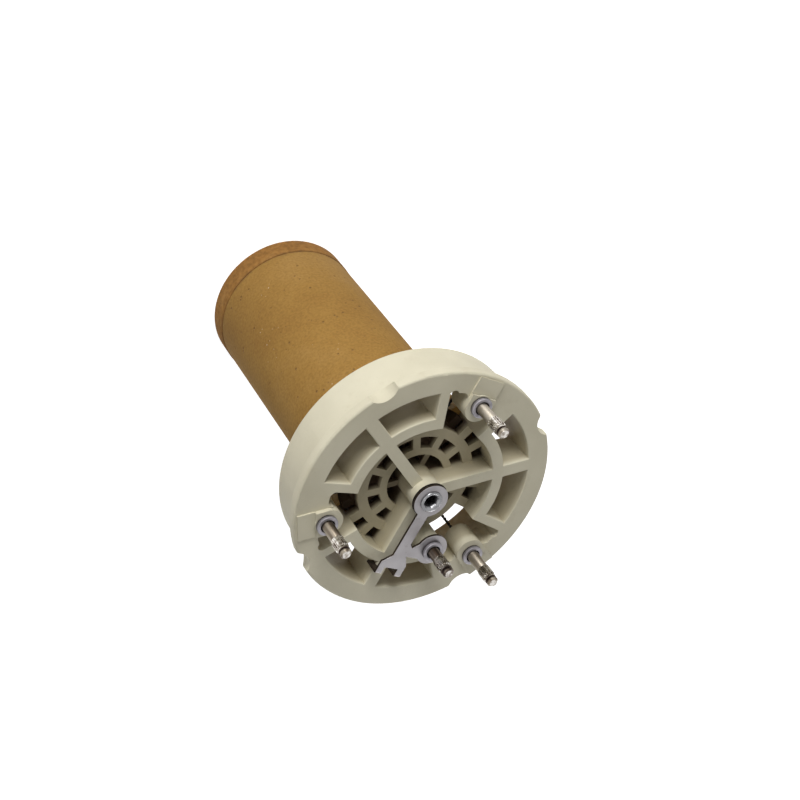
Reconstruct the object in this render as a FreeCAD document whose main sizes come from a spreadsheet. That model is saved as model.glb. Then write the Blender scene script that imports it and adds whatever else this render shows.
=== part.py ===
import FreeCAD, Part
import math
import os
import re
import Sketcher

# Driving sizes, in millimetres and degrees
SIZES = {
    # Tie tube through the middle
    "tie_bore_dia": 4.1,
    "tie_wall": 0.95,
    "tie_clearance": 0.15,
    # Grid of rings and cells, from the hub outwards, shared by the flange and the core
    "hub_wall": 2.55,
    "hub_cell_width": 4.7,
    "inner_ring_wall": 2.7,
    "mid_cell_width": 4.25,
    "cell_ring_wall": 3.55,
    "outer_slot_depth": 3.8,
    "low_rib_width": 2.0,
    "web_rib_width": 2.7,
    "outer_rib_width": 3.0,
    "outer_rib_angle": 20.0,
    "end_rib_width": 3.4,
    "end_rib_angle": 38.9,
    # Outer tube and the ring at its outlet end
    "core_clearance": 0.3,
    "tube_wall": 2.2,
    "tube_length": 104.0,
    "end_ring_height": 8.8,
    "end_ring_proud": 0.2,
    "end_ring_round": 0.6,
    # Ceramic flange, from the tube outwards
    "fit_gap": 0.15,
    "collar_wall": 1.65,
    "collar_depth": 3.0,
    "jacket_gap": 9.4,
    "flange_wall": 4.7,
    "lip_reach": 2.9,
    "lip_thickness": 3.6,
    "cove_height": 2.6,
    "flange_depth": 20.7,
    "back_chamfer": 1.3,
    "edge_round": 0.9,
    "notch_start": 19.0,
    "notch_radius": 5.6,
    "notch_depth": 2.8,
    "notch_height": 6.4,
    # Ceramic flange, inner wheel
    "casting_depth": 14.0,
    "spoke_width": 4.1,
    "outer_spoke_width": 4.8,
    "web_drop": 7.1,
    "web_thickness": 2.8,
    "low_rib_drop": 1.4,
    "hub_rise": 3.3,
    # Terminal pins
    "pin_dia": 4.0,
    "pin_tail": 1.6,
    "pin_tip_length": 3.0,
    "pin_tip_chamfer": 0.5,
    "knurl_height": 0.25,
    "knurl_start": 10.3,
    "knurl_length": 4.6,
    "knurl_ramp": 0.3,
    "neck_depth": 0.4,
    "neck_length": 0.8,
    "neck_ramp": 0.2,
    # Hollow rivets that hold the pins
    "rivet_wall": 0.5,
    "rivet_head_width": 1.1,
    "rivet_head_height": 1.6,
    "rivet_head_taper": 0.3,
    "rivet_tail_width": 0.3,
    # Terminal bosses on the flange
    "pin_inset": 2.9,
    "boss_nose": 5.9,
    "boss_width": 9.7,
    "boss_step_gap": 0.3,
    "boss_rise": 1.5,
    "boss_room": 5.8,
    "shelf_reach": 3.7,
    "corner_round": 2.0,
    "relief_dia": 3.2,
    "relief_inset": 0.7,
    "relief_angle": 16.0,
    "pad_width": 10.0,
    "pad_margin": 1.2,
    "pad_rise": 0.6,
    # Star point boss beside the third spoke
    "star_inset": 4.2,
    "star_boss_angle": 272.5,
    "star_boss_dia": 9.0,
    "star_pocket_gap": 0.2,
    # Strap from the hub to the star point boss
    "strap_thickness": 1.0,
    "strap_arm_width": 4.2,
    "strap_hub_width": 2.25,
    "strap_star_width": 2.1,
    "bridge_length": 3.5,
    "bridge_notch": 1.4,
    "bridge_flare": 1.0,
    "fork_length": 8.0,
    "fork_slot": 3.1,
    "fork_gap": 0.35,
    "hook_clearance": 0.6,
    "prong_width": 2.4,
    "prong_drop": 1.9,
    "hub_washer_margin": 0.2,
    "hub_washer_thickness": 0.4,
    # Rolled end of the tie tube, and its washer and nut
    "tie_flare_width": 0.85,
    "tie_flare_height": 0.7,
    "tie_flare_taper": 0.2,
    "tie_mouth_width": 0.4,
    "tie_overhang": 1.8,
    "far_washer_width": 4.35,
    "far_washer_thickness": 0.8,
    "nut_wall": 2.0,
    "nut_height": 3.2,
    # Honeycomb core inside the tube, and the windings in its channels
    "core_bottom": 7.4,
    "core_joint_gap": 0.2,
    "winding_gap": 0.1,
    "winding_end_gap": 3.0,
    # Twisted leads from the windings to the pins
    "lead_dia": 1.1,
    "lead_bend": 1.6,
    "lead_straight": 0.2,
    "star_lead_bend": 1.0,
}

# Diameters, reaches and heights worked out from the driving sizes
FORMULAS = {
    "tie_dia": "tie_bore_dia + 2 * tie_wall",
    "tie_hole_dia": "tie_dia + 2 * tie_clearance",
    "hub_dia": "tie_hole_dia + 2 * hub_wall",
    "inner_ring_inner_dia": "hub_dia + 2 * hub_cell_width",
    "inner_ring_outer_dia": "inner_ring_inner_dia + 2 * inner_ring_wall",
    "cell_ring_inner_dia": "inner_ring_outer_dia + 2 * mid_cell_width",
    "cell_ring_outer_dia": "cell_ring_inner_dia + 2 * cell_ring_wall",
    "core_dia": "cell_ring_outer_dia + 2 * outer_slot_depth",
    "tube_bore_dia": "core_dia + 2 * core_clearance",
    "tube_dia": "tube_bore_dia + 2 * tube_wall",
    "collar_bore_dia": "tube_dia + 2 * fit_gap",
    "mid_ring_outer_dia": "collar_bore_dia + 2 * collar_wall",
    "jacket_bore_dia": "mid_ring_outer_dia + 2 * jacket_gap",
    "body_dia": "jacket_bore_dia + 2 * flange_wall",
    "rim_dia": "body_dia + 2 * lip_reach",
    "tube_top": "end_ring_height + tube_length",
    "front": "tube_top + casting_depth",
    "web_top": "front - web_drop",
    "web_bottom": "web_top - web_thickness",
    "flange_back": "front - flange_depth",
    "strap_seat": "front + hub_rise + hub_washer_thickness",
    "strap_top": "strap_seat + strap_thickness",
    "boss_top": "front + boss_rise",
    "boss_back": "tube_top + boss_room",
    "boss_drop": "front - boss_back",
    "boss_round": "boss_width / 2",
    "boss_step": "jacket_bore_dia / 2 + boss_step_gap",
    "pin_reach": "jacket_bore_dia / 2 - pin_inset",
    "shelf_bore_dia": "jacket_bore_dia - 2 * shelf_reach",
    "pad_reach": "rim_dia / 2 - pad_margin",
    "knurl_top": "front + knurl_start + knurl_length",
    "star_reach": "tube_bore_dia / 2 - star_inset",
    "star_back": "strap_top - boss_rise - boss_drop",
    "rivet_dia": "pin_dia + 2 * rivet_wall",
    "rivet_hole_dia": "rivet_dia + 2 * fit_gap",
    "rivet_head_dia": "rivet_dia + 2 * rivet_head_width",
    "rivet_tail_dia": "rivet_dia + 2 * rivet_tail_width",
    "tie_flare_dia": "tie_dia + 2 * tie_flare_width",
    "strap_hub_dia": "tie_flare_dia + 2 * strap_hub_width",
    "strap_star_dia": "rivet_head_dia + 2 * strap_star_width",
    "fork_end": "mid_ring_outer_dia / 2 + hook_clearance + strap_thickness",
    "fork_half": "outer_spoke_width / 2 + fork_gap",
    "nut_base": "core_bottom - far_washer_thickness - nut_height",
    "mid_cell_reach": "(inner_ring_outer_dia + cell_ring_inner_dia) / 4",
    "outer_slot_reach": "(cell_ring_outer_dia + core_dia) / 4",
    "winding_top": "tube_top - winding_end_gap",
}

SPOKE_ANGLES = (0, 120, 240)
TERMINAL_ANGLES = (60, 180, 300)
MID_RIB_STEP = 30
NOTCH_COUNT = 4
CORE_SEGMENTS = 3

# How far a rib runs into the piece that carries it, and a cut past a face
BITE = 1

doc = FreeCAD.newDocument("HeatingElement")


def make_sheet():
    """Put each driving size in a cell of its own, under its name."""
    sheet = doc.addObject("Spreadsheet::Sheet", "Sizes")
    for row, (name, size) in enumerate(SIZES.items(), start=1):
        sheet.set(f"A{row}", name)
        sheet.set(f"B{row}", str(size))
        sheet.setAlias(f"B{row}", name)
    doc.recompute()
    return sheet


def formula(text):
    """Turn the names in a formula into references to the sheet."""
    def refer(match):
        word = match.group()
        if word in FORMULAS:
            return "(" + formula(FORMULAS[word]) + ")"
        return "Sizes." + word if word in SIZES else word
    return re.sub(r"[a-z_]{3,}", refer, str(text))


def value(text):
    """Work out a formula as a plain number."""
    result = SHEET.evalExpression(formula(text))
    return float(getattr(result, "Value", result))


def bind(item, prop, text):
    item.setExpression(prop, formula(text))


def place(item, x=0, y=0, z=0, turn=0):
    """Stand an item at a point and turn it about the upright axis."""
    item.Placement = FreeCAD.Placement(
        FreeCAD.Vector(), FreeCAD.Rotation(FreeCAD.Vector(0, 0, 1), 10))
    bind(item, "Placement.Base.x", x)
    bind(item, "Placement.Base.y", y)
    bind(item, "Placement.Base.z", z)
    bind(item, "Placement.Rotation.Angle", turn)


def add(kind, name):
    return doc.addObject(kind, name)


def cylinder(name, dia, bottom, top, reach=0, angle=0, sweep=360, turn=0):
    """An upright cylinder, or a sector of one, at a polar place."""
    item = add("Part::Cylinder", name)
    bind(item, "Radius", f"({dia}) / 2")
    bind(item, "Height", f"({top}) - ({bottom})")
    bind(item, "Angle", sweep)
    place(item, f"({reach}) * cos({angle})", f"({reach}) * sin({angle})", bottom, turn)
    return item


def bar(name, start, stop, width, bottom, top, angle):
    """A flat-sided bar that runs outward from the axis at an angle."""
    item = add("Part::Box", name)
    bind(item, "Length", f"({stop}) - ({start})")
    bind(item, "Width", width)
    bind(item, "Height", f"({top}) - ({bottom})")
    place(item,
          f"({start}) * cos({angle}) + ({width}) / 2 * sin({angle})",
          f"({start}) * sin({angle}) - ({width}) / 2 * cos({angle})",
          bottom, angle)
    return item


def fuse(name, items):
    item = add("Part::MultiFuse", name)
    item.Shapes = items
    item.Refine = True
    return item


def cut(name, base, tool):
    item = add("Part::Cut", name)
    item.Base = base
    item.Tool = tool
    item.Refine = True
    return item


def ring(name, inner, outer, bottom, top, start=0, sweep=360):
    """A flat-ended ring about the axis, or an arc of one."""
    solid = cylinder(name + "_outer", outer, bottom, top, sweep=sweep, turn=start)
    hole = cylinder(name + "_inner", inner, bottom, top, sweep=sweep, turn=start)
    return cut(name, solid, hole)


def plane(body, role):
    """One of a body's own origin planes."""
    return next(f for f in body.Origin.OriginFeatures if f.Role == role)


def outline(body, name, role, points, closed=True, bends=None, bend=0):
    """A sketch of straight lines with each corner bound to its formulas.

    A side whose number is in bends is a quarter arc with the bend as its radius, drawn
    about the centre given there.
    """
    sketch = body.newObject("Sketcher::SketchObject", name)
    sketch.AttachmentSupport = (plane(body, role), [""])
    sketch.MapMode = "FlatFace"
    bends = bends or {}
    spots = [FreeCAD.Vector(value(x), value(y), 0) for x, y in points]
    sides = len(spots) if closed else len(spots) - 1

    def fix(side, point, x, y):
        for kind, axis, text in (("DistanceX", -2, x), ("DistanceY", -1, y)):
            if str(text) == "0":
                sketch.addConstraint(Sketcher.Constraint("PointOnObject", side, point, axis))
                continue
            where = sketch.addConstraint(
                Sketcher.Constraint(kind, -1, 1, side, point, value(text)))
            sketch.setExpression(f"Constraints[{where}]", formula(text))

    for side in range(sides):
        first, last = spots[side], spots[(side + 1) % len(spots)]
        if side not in bends:
            sketch.addGeometry(Part.LineSegment(first, last), False)
            continue
        centre = FreeCAD.Vector(*(value(text) for text in bends[side]), 0)
        half_way = (first + last) / 2 - centre
        crown = centre + half_way.normalize() * (first - centre).Length
        sketch.addGeometry(Part.Arc(first, crown, last), False)
    for side in range(sides if closed else sides - 1):
        one = 2 if side not in bends else arc_ends(sketch, side, spots[side])[1]
        two = (side + 1) % sides
        other = 1 if two not in bends else arc_ends(sketch, two, spots[two])[0]
        sketch.addConstraint(Sketcher.Constraint("Coincident", side, one, two, other))
    for side, (x, y) in enumerate(points[:sides]):
        if side not in bends:
            fix(side, 1, x, y)
        elif side - 1 not in bends:
            fix(side - 1, 2, x, y)
    if not closed:
        fix(sides - 1, 2, *points[-1])
    for side in bends:
        radius = sketch.Geometry[side].Radius
        where = sketch.addConstraint(Sketcher.Constraint("Radius", side, radius))
        sketch.setExpression(f"Constraints[{where}]", formula(bend))
    return sketch


def arc_ends(sketch, side, start):
    """Which of an arc's ends lies at a start point, and which is the far one."""
    near = (sketch.getPoint(side, 1) - start).Length < 1e-6
    return (1, 2) if near else (2, 1)


def turned(name, points):
    """A body turned about the upright axis from an outline of radius and height."""
    body = add("PartDesign::Body", name)
    sketch = outline(body, name + "_profile", "XZ_Plane", points)
    spin = body.newObject("PartDesign::Revolution", name + "_turned")
    spin.Profile = sketch
    spin.ReferenceAxis = (sketch, ["V_Axis"])
    spin.Angle = 360
    body.Tip = spin
    return body


def rounded(body, name, radius, rings):
    """Round the circular edges that lie at the given radii and heights."""
    doc.recompute()
    base = body.Tip
    wanted = [(value(r), value(h)) for r, h in rings]
    picked = []
    for number, edge in enumerate(base.Shape.Edges, start=1):
        curve = edge.Curve
        if not isinstance(curve, Part.Circle):
            continue
        for r, h in wanted:
            if abs(curve.Radius - r) < 1e-4 and abs(curve.Center.z - h) < 1e-4:
                picked.append(f"Edge{number}")
    fillet = body.newObject("PartDesign::Fillet", name)
    fillet.Base = (base, picked)
    bind(fillet, "Radius", radius)
    body.Tip = fillet
    return body


def flange_ring():
    """The outer ring of the flange, with its lip, cove and chamfered back."""
    bore = "jacket_bore_dia / 2"
    body = "body_dia / 2"
    rim = "rim_dia / 2"
    under_rim = "front - lip_thickness"
    piece = turned("flange_ring", [
        (bore, "flange_back + back_chamfer"),
        (f"{bore} + back_chamfer", "flange_back"),
        (body, "flange_back"),
        (body, f"{under_rim} - cove_height"),
        (rim, under_rim),
        (rim, "front"),
        (bore, "front"),
    ])
    return rounded(piece, "flange_ring_rounds", "edge_round",
                   [(rim, "front"), (rim, under_rim), (body, "flange_back")])


def wheel_third(index):
    """One spoke with its arc of the middle ring, end ribs and outer cells."""
    spoke = SPOKE_ANGLES[index]
    name = f"third_{index + 1}_"
    bottom = "front - casting_depth"
    middle = "(tube_bore_dia + mid_ring_outer_dia) / 4"
    wall = "(jacket_bore_dia + body_dia) / 4"
    items = [
        bar(name + "spoke", 0, middle, "spoke_width", bottom, "front", spoke),
        bar(name + "outer_spoke", middle, wall, "outer_spoke_width", bottom, "front", spoke),
        ring(name + "arc", "tube_bore_dia", "mid_ring_outer_dia", bottom, "front",
             f"{spoke} - end_rib_angle", "2 * end_rib_angle"),
        ring(name + "collar", "collar_bore_dia", "mid_ring_outer_dia",
             f"{bottom} - collar_depth", bottom,
             f"{spoke} - end_rib_angle", "2 * end_rib_angle"),
    ]
    for side, word in ((-1, "right"), (1, "left")):
        end = f"{spoke} + ({side}) * end_rib_angle"
        cell = f"{spoke} + ({side}) * outer_rib_angle"
        items.append(bar(name + word + "_end_rib", "tube_bore_dia / 2", wall,
                         "end_rib_width", bottom, "front", end))
        items.append(bar(name + word + "_end_rib_foot", f"cell_ring_outer_dia / 2 - {BITE}",
                         middle, "end_rib_width", "web_bottom", "web_top", end))
        items.append(bar(name + word + "_cell_rib", f"cell_ring_outer_dia / 2 - {BITE}", middle,
                         "outer_rib_width", "web_bottom", "web_top", cell))
    return items


def web():
    """The grid of rings and ribs across the middle of the flange."""
    items = [
        ring("web_inner_ring", "inner_ring_inner_dia", "inner_ring_outer_dia",
             "web_bottom", "web_top"),
        ring("web_cell_ring", "cell_ring_inner_dia", "cell_ring_outer_dia",
             "web_bottom", "web_top"),
    ]
    for angle in range(0, 360, MID_RIB_STEP):
        if angle not in SPOKE_ANGLES:
            items.append(bar(f"web_rib_{angle}", f"inner_ring_outer_dia / 2 - {BITE}",
                             f"cell_ring_inner_dia / 2 + {BITE}", "web_rib_width",
                             "web_bottom", "web_top", angle))
    for angle in TERMINAL_ANGLES:
        items.append(bar(f"low_rib_{angle}", 0, f"inner_ring_inner_dia / 2 + {BITE}",
                         "low_rib_width", "web_bottom", "web_top - low_rib_drop", angle))
    return items


def rounded_corner(name, angle, side, half, bore, bottom):
    """The rounded corner between a flat side, half a width off the axis, and a bore."""
    wall = f"({bore}) / 2"
    off = f"({half} + corner_round)"
    along = f"sqrt(({wall} - corner_round) ^ 2 - {off} ^ 2)"
    width = f"{off} * {wall} / ({wall} - corner_round) - {half}"
    block = bar(name + "_block", along, wall, width, bottom, "front", angle)
    near = f"({side}) * ({half} + ({width}) / 2) - ({width}) / 2"
    bind(block, "Placement.Base.x",
         f"{along} * cos({angle}) - ({near}) * sin({angle})")
    bind(block, "Placement.Base.y",
         f"{along} * sin({angle}) + ({near}) * cos({angle})")
    hollow = cylinder(name + "_hollow", "2 * corner_round", bottom, "front")
    bind(hollow, "Placement.Base.x",
         f"{along} * cos({angle}) - ({side}) * {off} * sin({angle})")
    bind(hollow, "Placement.Base.y",
         f"{along} * sin({angle}) + ({side}) * {off} * cos({angle})")
    return cut(name, block, hollow)


def terminal_windows():
    """The shelf on one side of each terminal boss, and the rounded window corners."""
    items = []
    for angle in TERMINAL_ANGLES:
        rib = f"{angle} - 60 + end_rib_angle"
        items.append(ring(f"shelf_{angle}", "shelf_bore_dia", "jacket_bore_dia + flange_wall",
                          "boss_back", "front", rib, "60 - end_rib_angle"))
        items.append(rounded_corner(f"shelf_boss_corner_{angle}", angle, -1,
                                    "boss_width / 2", "shelf_bore_dia", "boss_back"))
        items.append(rounded_corner(f"shelf_rib_corner_{angle}", rib, 1,
                                    "end_rib_width / 2", "shelf_bore_dia", "boss_back"))
        items.append(rounded_corner(f"wall_boss_corner_{angle}", angle, 1,
                                    "boss_width / 2", "jacket_bore_dia", "boss_back"))
    return items


def bosses():
    """Three terminal bosses with their pads, and the star point boss."""
    items = []
    inside = "pin_reach - boss_nose + boss_round"
    wall = "(jacket_bore_dia + body_dia) / 4"
    for angle in TERMINAL_ANGLES:
        items.append(cylinder(f"boss_nose_{angle}", "boss_width", "boss_back", "boss_top",
                              reach=inside, angle=angle))
        items.append(bar(f"boss_{angle}", inside, "boss_step", "boss_width",
                         "boss_back", "boss_top", angle))
        items.append(bar(f"boss_root_{angle}", f"boss_step - {BITE}", wall, "boss_width",
                         "boss_back", "front", angle))
        items.append(bar(f"pad_{angle}", "boss_step", "pad_reach", "pad_width",
                         f"front - {BITE}", "front + pad_rise", angle))
    items.append(cylinder("star_boss", "star_boss_dia", "star_back", "strap_seat",
                          reach="star_reach", angle="star_boss_angle"))
    return items


def flange_holes():
    """Everything that is bored or cut out of the flange casting."""
    back = f"front - casting_depth - {BITE}"
    items = [cylinder("tie_hole", "tie_hole_dia", back, f"front + hub_rise + {BITE}")]
    for angle in TERMINAL_ANGLES:
        items.append(cylinder(f"boss_hole_{angle}", "rivet_hole_dia", f"boss_back - {BITE}",
                              f"boss_top + {BITE}", reach="pin_reach", angle=angle))
    items.append(cylinder("star_hole", "rivet_hole_dia", back, f"strap_seat + {BITE}",
                          reach="star_reach", angle="star_boss_angle"))
    items.append(cylinder("star_pocket", "rivet_tail_dia + 2 * star_pocket_gap", back, "star_back",
                          reach="star_reach", angle="star_boss_angle"))
    for angle in TERMINAL_ANGLES:
        items.append(cylinder(f"relief_{angle}", "relief_dia", "flange_back", f"front + {BITE}",
                              reach="jacket_bore_dia / 2 - relief_inset",
                              angle=f"{angle} + relief_angle"))
    for index in range(NOTCH_COUNT):
        items.append(cylinder(f"notch_{index + 1}", "2 * notch_radius",
                              "front - notch_height", f"front + {BITE}",
                              reach="rim_dia / 2 + notch_radius - notch_depth",
                              angle=f"notch_start + {index} * 360 / {NOTCH_COUNT}"))
    return items


def ceramic_flange():
    """The cast flange: outer ring, spoked wheel, web, hub and bosses."""
    items = [flange_ring()]
    for index in range(len(SPOKE_ANGLES)):
        items += wheel_third(index)
    items += web()
    items += terminal_windows()
    items += bosses()
    items.append(cylinder("hub", "hub_dia", "front - casting_depth", "front + hub_rise"))
    casting = fuse("flange_casting", items)
    return cut("ceramic_flange", casting, fuse("flange_holes", flange_holes()))


def outer_tube():
    return ring("outer_tube", "tube_bore_dia", "tube_dia",
                "end_ring_height", "tube_top")


def end_ring():
    """The ring that closes the outlet end of the tube."""
    outer = "tube_dia / 2 + end_ring_proud"
    inner = "tube_bore_dia / 2"
    piece = turned("end_ring", [
        (inner, 0),
        (outer, 0),
        (outer, "end_ring_height"),
        (inner, "end_ring_height"),
    ])
    return rounded(piece, "end_ring_rounds", "end_ring_round", [(outer, 0)])


def core_segment(index):
    """One honeycomb length of the core, with open slots round its edge."""
    name = f"core_segment_{index + 1}"
    pitch = f"((tube_top - core_bottom) / {CORE_SEGMENTS})"
    bottom = f"core_bottom + {index} * {pitch}"
    top = f"core_bottom + {index + 1} * {pitch} - core_joint_gap"
    items = [
        cylinder(name + "_hub", "hub_dia", bottom, top),
        ring(name + "_inner_ring", "inner_ring_inner_dia", "inner_ring_outer_dia", bottom, top),
        ring(name + "_cell_ring", "cell_ring_inner_dia", "cell_ring_outer_dia", bottom, top),
    ]
    for angle in SPOKE_ANGLES + TERMINAL_ANGLES:
        items.append(bar(f"{name}_hub_rib_{angle}", 0, f"inner_ring_inner_dia / 2 + {BITE}",
                         "low_rib_width", bottom, top, angle))
    for angle in range(0, 360, MID_RIB_STEP):
        items.append(bar(f"{name}_rib_{angle}", f"inner_ring_outer_dia / 2 - {BITE}",
                         f"cell_ring_inner_dia / 2 + {BITE}", "web_rib_width",
                         bottom, top, angle))
    for spoke in SPOKE_ANGLES:
        for word, offset in (("a", "-end_rib_angle"), ("b", "-outer_rib_angle"), ("c", "0"),
                             ("d", "outer_rib_angle"), ("e", "end_rib_angle")):
            items.append(bar(f"{name}_tooth_{spoke}_{word}",
                             f"cell_ring_outer_dia / 2 - {BITE}", "core_dia / 2",
                             "outer_rib_width", bottom, top, f"{spoke} + ({offset})"))
    solid = fuse(name + "_solid", items)
    return cut(name, solid, cylinder(name + "_hole", "tie_hole_dia", bottom, top))


def winding_run(name, depth, cell, reach, angle):
    """A coiled wire as the rod that it fills: as thick as its channel lets it be."""
    width = f"({reach}) * ({cell}) * pi / 180"
    dia = f"min({depth}; {width}) - 2 * winding_gap"
    return cylinder(name, dia, "core_bottom + winding_end_gap", "winding_top",
                    reach=reach, angle=angle)


def heating_winding(index):
    """The wound resistance wire of one phase, in four middle and five outer channels."""
    spoke = SPOKE_ANGLES[index]
    half_step = MID_RIB_STEP / 2
    rib = "web_rib_width * 180 / (pi * mid_cell_reach)"
    tooth = "outer_rib_width * 180 / (pi * outer_slot_reach)"
    items = []
    for word, offset in (("a", -3 * half_step), ("b", -half_step),
                         ("c", half_step), ("d", 3 * half_step)):
        items.append(winding_run(f"phase_{index + 1}_mid_run_{word}", "mid_cell_width",
                                 f"{MID_RIB_STEP} - {rib}", "mid_cell_reach",
                                 f"{spoke} + ({offset})"))
    inner = f"outer_rib_angle - {tooth}"
    outer = f"end_rib_angle - outer_rib_angle - {tooth}"
    wide = f"2 * (60 - end_rib_angle) - {tooth}"
    for word, cell, offset in (
            ("a", outer, "-(outer_rib_angle + end_rib_angle) / 2"),
            ("b", inner, "-outer_rib_angle / 2"),
            ("c", inner, "outer_rib_angle / 2"),
            ("d", outer, "(outer_rib_angle + end_rib_angle) / 2"),
            ("e", wide, TERMINAL_ANGLES[index] - spoke)):
        items.append(winding_run(f"phase_{index + 1}_outer_run_{word}", "outer_slot_depth",
                                 cell, "outer_slot_reach", f"{spoke} + ({offset})"))
    group = add("Part::Compound", f"heating_winding_{index + 1}")
    group.Links = items
    return group


def pin(name, reach, angle, seat):
    """A turned terminal pin with a knurled band, a neck and a plain tip."""
    shank = "pin_dia / 2"
    knurl = f"{shank} + knurl_height"
    neck = f"{shank} - neck_depth"
    top = "knurl_top + pin_tip_length"
    tail = f"{seat} - pin_tail"
    piece = turned(name, [
        (0, tail),
        (shank, tail),
        (shank, "front + knurl_start"),
        (knurl, "front + knurl_start + knurl_ramp"),
        (knurl, "knurl_top - knurl_ramp"),
        (shank, "knurl_top"),
        (neck, "knurl_top + neck_ramp"),
        (neck, "knurl_top + neck_length"),
        (shank, "knurl_top + neck_length + neck_ramp"),
        (shank, f"{top} - pin_tip_chamfer"),
        (f"{shank} - pin_tip_chamfer", top),
        (0, top),
    ])
    place(piece, f"({reach}) * cos({angle})", f"({reach}) * sin({angle})")
    return piece


def rivet(name, reach, angle, seat, back):
    """A hollow rivet set through a boss, rolled over at the back."""
    bore = "pin_dia / 2"
    barrel = "rivet_dia / 2"
    head = "rivet_head_dia / 2"
    tail = "rivet_tail_dia / 2"
    piece = turned(name, [
        (bore, f"{back} - rivet_wall"),
        (tail, f"{back} - rivet_wall"),
        (tail, back),
        (barrel, back),
        (barrel, seat),
        (head, seat),
        (f"{head} - rivet_head_taper", f"{seat} + rivet_head_height"),
        (f"{bore} + rivet_wall", f"{seat} + rivet_head_height"),
        (bore, f"{seat} + rivet_wall / 2"),
    ])
    place(piece, f"({reach}) * cos({angle})", f"({reach}) * sin({angle})")
    return piece


def strap_plate():
    """The flat outline of the strap, laid out along the third spoke."""
    side = "strap_arm_width / 2"
    outer = "fork_half + prong_width"
    start = "fork_end - fork_length"
    across = f"star_reach * sin(star_boss_angle - {SPOKE_ANGLES[2]})"
    along = f"star_reach * cos(star_boss_angle - {SPOKE_ANGLES[2]})"
    body = add("PartDesign::Body", "strap_plate")
    sketch = outline(body, "strap_plate_outline", "XY_Plane", [
        (0, f"-{side}"),
        (start, f"-{side}"),
        (f"{start} + {outer} - {side}", f"-({outer})"),
        ("fork_end", f"-({outer})"),
        ("fork_end", "-fork_half"),
        ("fork_end - fork_slot", "-fork_half"),
        ("fork_end - fork_slot", "fork_half"),
        ("fork_end", "fork_half"),
        ("fork_end", outer),
        (f"{start} + {outer} - {side}", outer),
        (f"{start} - bridge_flare / 2", f"{side} + bridge_flare"),
        (f"{start} - bridge_flare / 2", f"{across} - strap_star_dia / 4"),
        (along, across),
        (f"{along} - strap_star_dia / 4", f"{across} - strap_star_dia / 3"),
        (f"{start} - bridge_length - bridge_flare / 2", f"{side} + bridge_notch"),
        (f"{start} - bridge_length - bridge_flare / 2 - bridge_notch", side),
        (0, side),
    ])
    pad = body.newObject("PartDesign::Pad", "strap_plate_pad")
    pad.Profile = sketch
    bind(pad, "Length", "strap_thickness")
    body.Tip = pad
    place(body, z="strap_seat", turn=SPOKE_ANGLES[2])
    return body


def star_strap():
    """The strap from the hub to the star point, with two hooks over the middle ring."""
    spoke = SPOKE_ANGLES[2]
    items = [
        strap_plate(),
        cylinder("strap_hub_eye", "strap_hub_dia", "strap_seat", "strap_top"),
        cylinder("strap_star_eye", "strap_star_dia", "strap_seat", "strap_top",
                 reach="star_reach", angle="star_boss_angle"),
    ]
    near = "fork_end - strap_thickness"
    for side, word in ((-1, "left"), (1, "right")):
        edge = f"({side}) * (fork_half + prong_width / 2) - prong_width / 2"
        hook = bar(f"strap_{word}_hook", near, "fork_end", "prong_width",
                   "front - prong_drop", "strap_top", spoke)
        bind(hook, "Placement.Base.x",
             f"({near}) * cos({spoke}) - ({edge}) * sin({spoke})")
        bind(hook, "Placement.Base.y",
             f"({near}) * sin({spoke}) + ({edge}) * cos({spoke})")
        items.append(hook)
    sheet = fuse("strap_sheet", items)
    holes = fuse("strap_holes", [
        cylinder("strap_hub_hole", "tie_hole_dia",
                 f"strap_seat - {BITE}", f"strap_top + {BITE}"),
        cylinder("strap_star_hole", "rivet_hole_dia",
                 f"strap_seat - {BITE}", f"strap_top + {BITE}",
                 reach="star_reach", angle="star_boss_angle"),
    ])
    return cut("star_strap", sheet, holes)


def tie_tube():
    """The hollow tie that holds the strap, flange and core together."""
    outer = "tie_dia / 2"
    bore = "tie_bore_dia / 2"
    return turned("tie_tube", [
        (bore, "nut_base - tie_overhang"),
        (outer, "nut_base - tie_overhang"),
        (outer, "strap_top"),
        ("tie_flare_dia / 2", "strap_top"),
        ("tie_flare_dia / 2 - tie_flare_taper", "strap_top + tie_flare_height"),
        (f"{bore} + tie_mouth_width", "strap_top + tie_flare_height"),
        (bore, "strap_top"),
    ])


def tie_nut():
    prism = add("Part::Prism", "tie_nut_hexagon")
    prism.Polygon = 6
    bind(prism, "Circumradius", "(tie_dia / 2 + nut_wall) * 2 / sqrt(3)")
    bind(prism, "Height", "nut_height")
    place(prism, z="nut_base")
    hole = cylinder("tie_nut_hole", "tie_dia", "nut_base", "nut_base + nut_height")
    return cut("tie_nut", prism, hole)


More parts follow.
